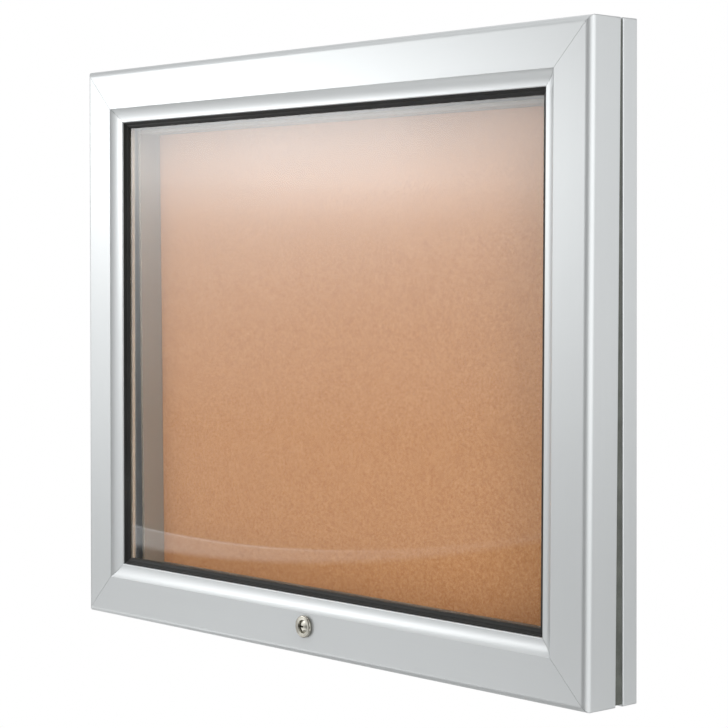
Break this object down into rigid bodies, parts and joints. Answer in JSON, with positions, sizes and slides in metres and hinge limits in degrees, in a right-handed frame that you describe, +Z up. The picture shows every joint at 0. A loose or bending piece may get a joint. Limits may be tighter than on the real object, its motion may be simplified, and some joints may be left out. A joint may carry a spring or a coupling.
{
  "type": "lockable notice board",
  "caption": "Wall-mounted notice board: shallow aluminium case with a cork pin board, closed by a top-hinged glazed door with a bevelled frame and a cam lock in its bottom rail",
  "frame": {"origin": "middle of the flat back, on the wall face", "axes": "+X right seen from the front, along the width; +Y from the front into the wall; +Z up"},
  "size_m": [0.81, 0.0758, 0.6505],
  "materials": {
    "silver_aluminium": "satin anodised",
    "case_aluminium": "satin anodised",
    "rim_aluminium": "satin anodised",
    "bead_aluminium": "satin anodised",
    "cast_cleat": "as cast",
    "black_rubber": "matt",
    "black_foam": "closed-cell foam, matt",
    "cork": "pressed fine-grain cork, matt",
    "soft_board": "soft fibre board, matt",
    "galvanised_sheet": "galvanised, dull",
    "stainless_steel": "satin",
    "chrome": "polished",
    "clear_acrylic": "clear, polished"
  },
  "bodies": {
    "case": {"case_rail_top": "case_aluminium", "case_rail_bottom": "case_aluminium", "case_stile_left": "case_aluminium", "case_stile_right": "case_aluminium", "rim_top": "rim_aluminium", "rim_bottom": "rim_aluminium", "rim_left": "rim_aluminium", "rim_right": "rim_aluminium", "case_cleat_bottom_left": "cast_cleat", "case_cleat_bottom_right": "cast_cleat", "case_cleat_top_right": "cast_cleat", "case_cleat_top_left": "cast_cleat", "seal_left": "black_foam", "seal_right": "black_foam", "seal_top": "black_foam", "seal_bottom": "black_foam", "pin_board_cork": "cork", "pin_board_core": "soft_board", "back_panel": "galvanised_sheet", "hinge_leaf_case": "stainless_steel", "hinge_pin": "stainless_steel", "lock_keeper": "stainless_steel", "keeper_screw_left": "stainless_steel", "keeper_screw_right": "stainless_steel"},
    "door": {"door_rail_top": "silver_aluminium", "door_rail_bottom": "silver_aluminium", "door_stile_left": "silver_aluminium", "door_stile_right": "silver_aluminium", "glazing_bead_top": "bead_aluminium", "glazing_bead_bottom": "bead_aluminium", "glazing_bead_left": "bead_aluminium", "glazing_bead_right": "bead_aluminium", "door_cleat_bottom_left": "cast_cleat", "door_cleat_bottom_right": "cast_cleat", "door_cleat_top_right": "cast_cleat", "door_cleat_top_left": "cast_cleat", "gasket_top": "black_rubber", "gasket_bottom": "black_rubber", "gasket_left": "black_rubber", "gasket_right": "black_rubber", "hinge_leaf_door": "stainless_steel", "lock_nut": "stainless_steel", "lock_body": "chrome", "glazing": "clear_acrylic"},
    "lock": {"lock_plug": "chrome", "lock_cam": "stainless_steel", "lock_cam_screw": "stainless_steel"}
  },
  "joints": [
    {"name": "door_hinge", "type": "hinge", "parent": "case", "child": "door", "pos_m": [0, -0.02145, 0.32325], "axis": [-1, 0, 0], "range_deg": [0, 80]},
    {"name": "lock_turn", "type": "hinge", "parent": "door", "child": "lock", "pos_m": [0, -0.07186, -0.29295], "axis": [0, -0.9999, 0.0116], "range_deg": [0, 90]}
  ]
}
